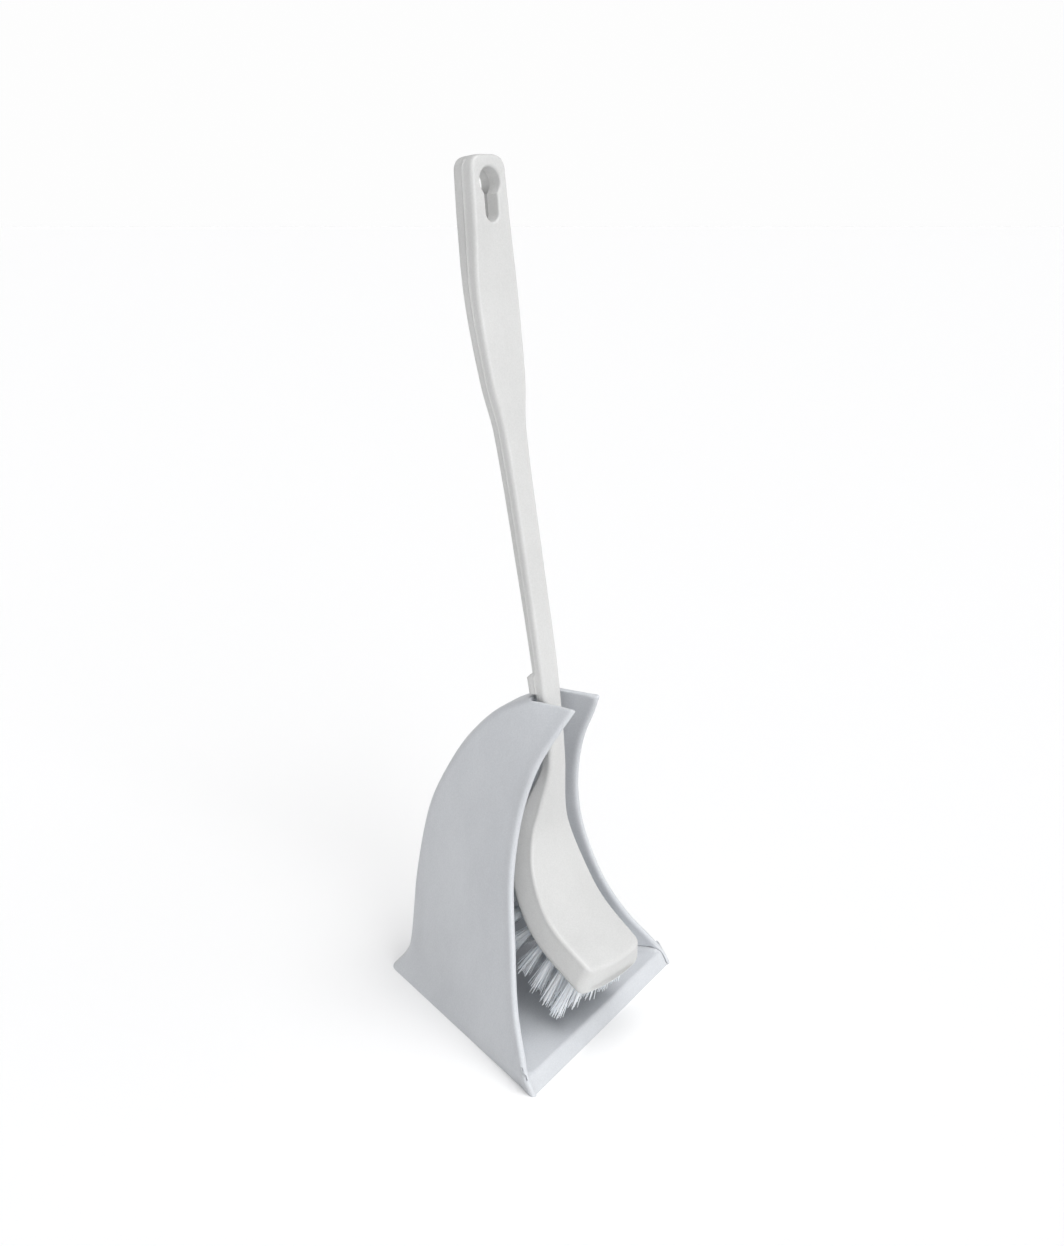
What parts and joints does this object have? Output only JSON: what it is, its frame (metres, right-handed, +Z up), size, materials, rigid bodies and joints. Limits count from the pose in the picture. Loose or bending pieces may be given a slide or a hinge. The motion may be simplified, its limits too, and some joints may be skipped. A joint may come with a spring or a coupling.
{
  "type": "toilet brush and holder",
  "caption": "Long-handled brush with a curved bristled head, standing in a tapering, open-fronted moulded holder.",
  "frame": {"origin": "on the standing surface, under the middle of the whole set's footprint", "axes": "+Z up; -Y is the holder's open front; X runs across the front edge, each moulding is symmetric in its own middle plane, and the brush stands turned 10 degrees in the holder"},
  "size_m": [0.13, 0.13, 0.3898],
  "materials": {
    "holder_plastic": "satin moulded polypropylene, pale cool grey-white",
    "brush_plastic": "smooth moulded polypropylene, off-white, soft sheen",
    "bristle": "translucent bluish-white filaments, crimped and flagged at the tips",
    "anchor_wire": "drawn wire"
  },
  "bodies": {
    "holder": {"holder": "holder_plastic"},
    "brush": {"brush_body": "brush_plastic", "tuft_anchors": "anchor_wire", "tuft_1_1": "bristle", "tuft_1_2": "bristle", "tuft_1_3": "bristle", "tuft_1_4": "bristle", "tuft_2_1": "bristle", "tuft_2_2": "bristle", "tuft_2_3": "bristle", "tuft_2_4": "bristle", "tuft_3_1": "bristle", "tuft_3_2": "bristle", "tuft_3_3": "bristle", "tuft_3_4": "bristle", "tuft_3_5": "bristle", "tuft_4_1": "bristle", "tuft_4_2": "bristle", "tuft_4_3": "bristle", "tuft_4_4": "bristle", "tuft_4_5": "bristle", "tuft_5_1": "bristle", "tuft_5_2": "bristle", "tuft_5_3": "bristle", "tuft_5_4": "bristle", "tuft_5_5": "bristle", "tuft_6_1": "bristle", "tuft_6_2": "bristle", "tuft_6_3": "bristle", "tuft_6_4": "bristle", "tuft_6_5": "bristle", "tuft_7_1": "bristle", "tuft_7_2": "bristle", "tuft_7_3": "bristle", "tuft_7_4": "bristle", "tuft_7_5": "bristle", "tuft_8_1": "bristle", "tuft_8_2": "bristle", "tuft_8_3": "bristle", "tuft_8_4": "bristle", "tuft_8_5": "bristle", "tuft_8_6": "bristle", "tuft_9_1": "bristle", "tuft_9_2": "bristle", "tuft_9_3": "bristle", "tuft_9_4": "bristle", "tuft_9_5": "bristle", "tuft_9_6": "bristle", "tuft_10_1": "bristle", "tuft_10_2": "bristle", "tuft_10_3": "bristle", "tuft_10_4": "bristle", "tuft_10_5": "bristle", "tuft_11_1": "bristle", "tuft_11_2": "bristle", "tuft_11_3": "bristle", "tuft_11_4": "bristle", "tuft_11_5": "bristle"}
  },
  "joints": [
    {"name": "brush_lift_out", "type": "slide", "parent": "holder", "child": "brush", "axis": [0, -0.8192, 0.5736], "range_m": [0, 0.25]}
  ]
}
